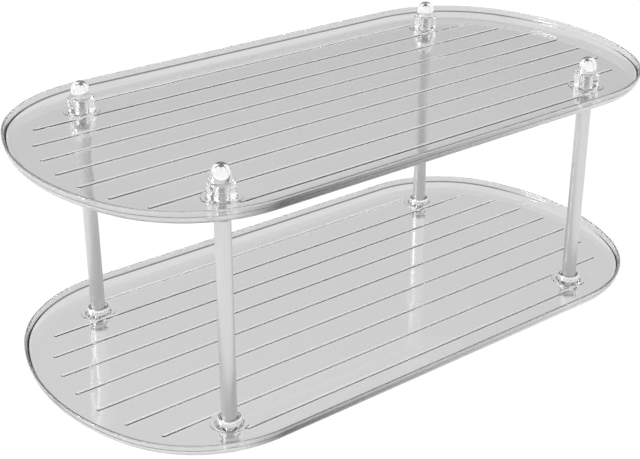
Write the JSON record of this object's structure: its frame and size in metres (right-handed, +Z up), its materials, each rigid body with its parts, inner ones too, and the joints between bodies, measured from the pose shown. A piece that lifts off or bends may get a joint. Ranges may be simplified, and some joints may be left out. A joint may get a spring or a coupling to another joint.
{
  "type": "two-tier countertop shelf",
  "caption": "Clear two-tier countertop shelf: ribbed oval trays with low rims on slim metal posts, fastened by screw-in bullet finials.",
  "frame": {"origin": "centre of the footprint, on the surface that the feet stand on", "axes": "+X along the trays' length, +Y to the back, +Z up"},
  "size_m": [0.32, 0.166, 0.1309],
  "materials": {
    "clear_plastic": "clear polished injection-moulded plastic",
    "clear_collar": "clear polished plastic",
    "chrome": "bright chrome plating",
    "satin_aluminium": "satin anodised",
    "steel": "bright zinc-plated steel",
    "soft_pad": "translucent soft silicone"
  },
  "bodies": {
    "root": {"lower_tray": "clear_plastic", "upper_tray": "clear_plastic", "post_front_left": "satin_aluminium", "post_front_right": "satin_aluminium", "post_rear_left": "satin_aluminium", "post_rear_right": "satin_aluminium", "ferrule_front_left": "chrome", "ferrule_front_right": "chrome", "ferrule_rear_left": "chrome", "ferrule_rear_right": "chrome", "foot_screw_front_left": "steel", "foot_screw_front_right": "steel", "foot_screw_rear_left": "steel", "foot_screw_rear_right": "steel", "foot_pad_front_left": "soft_pad", "foot_pad_front_right": "soft_pad", "foot_pad_rear_left": "soft_pad", "foot_pad_rear_right": "soft_pad"},
    "collar_front_left": {"collar_front_left": "clear_collar"},
    "finial_front_left": {"cap_front_left": "chrome", "stud_front_left": "steel"},
    "collar_front_right": {"collar_front_right": "clear_collar"},
    "finial_front_right": {"cap_front_right": "chrome", "stud_front_right": "steel"},
    "collar_rear_left": {"collar_rear_left": "clear_collar"},
    "finial_rear_left": {"cap_rear_left": "chrome", "stud_rear_left": "steel"},
    "collar_rear_right": {"collar_rear_right": "clear_collar"},
    "finial_rear_right": {"cap_rear_right": "chrome", "stud_rear_right": "steel"}
  },
  "joints": [
    {"name": "finial_front_left_lift", "type": "slide", "parent": "root", "child": "collar_front_left", "axis": [0, 0, 1], "range_m": [0, 0.007]},
    {"name": "finial_front_left_turn", "type": "hinge", "parent": "collar_front_left", "child": "finial_front_left", "pos_m": [-0.105, -0.0585, 0.1162], "axis": [0, 0, 1], "range_deg": [0, 3600]},
    {"name": "finial_front_right_lift", "type": "slide", "parent": "root", "child": "collar_front_right", "axis": [0, 0, 1], "range_m": [0, 0.007]},
    {"name": "finial_front_right_turn", "type": "hinge", "parent": "collar_front_right", "child": "finial_front_right", "pos_m": [0.105, -0.0585, 0.1162], "axis": [0, 0, 1], "range_deg": [0, 3600]},
    {"name": "finial_rear_left_lift", "type": "slide", "parent": "root", "child": "collar_rear_left", "axis": [0, 0, 1], "range_m": [0, 0.007]},
    {"name": "finial_rear_left_turn", "type": "hinge", "parent": "collar_rear_left", "child": "finial_rear_left", "pos_m": [-0.105, 0.0585, 0.1162], "axis": [0, 0, 1], "range_deg": [0, 3600]},
    {"name": "finial_rear_right_lift", "type": "slide", "parent": "root", "child": "collar_rear_right", "axis": [0, 0, 1], "range_m": [0, 0.007]},
    {"name": "finial_rear_right_turn", "type": "hinge", "parent": "collar_rear_right", "child": "finial_rear_right", "pos_m": [0.105, 0.0585, 0.1162], "axis": [0, 0, 1], "range_deg": [0, 3600]}
  ],
  "couplings": [
    {"joint": "finial_front_left_turn", "follows": "finial_front_left_lift", "rad_per_m": 8976},
    {"joint": "finial_front_right_turn", "follows": "finial_front_right_lift", "rad_per_m": 8976},
    {"joint": "finial_rear_left_turn", "follows": "finial_rear_left_lift", "rad_per_m": 8976},
    {"joint": "finial_rear_right_turn", "follows": "finial_rear_right_lift", "rad_per_m": 8976}
  ]
}
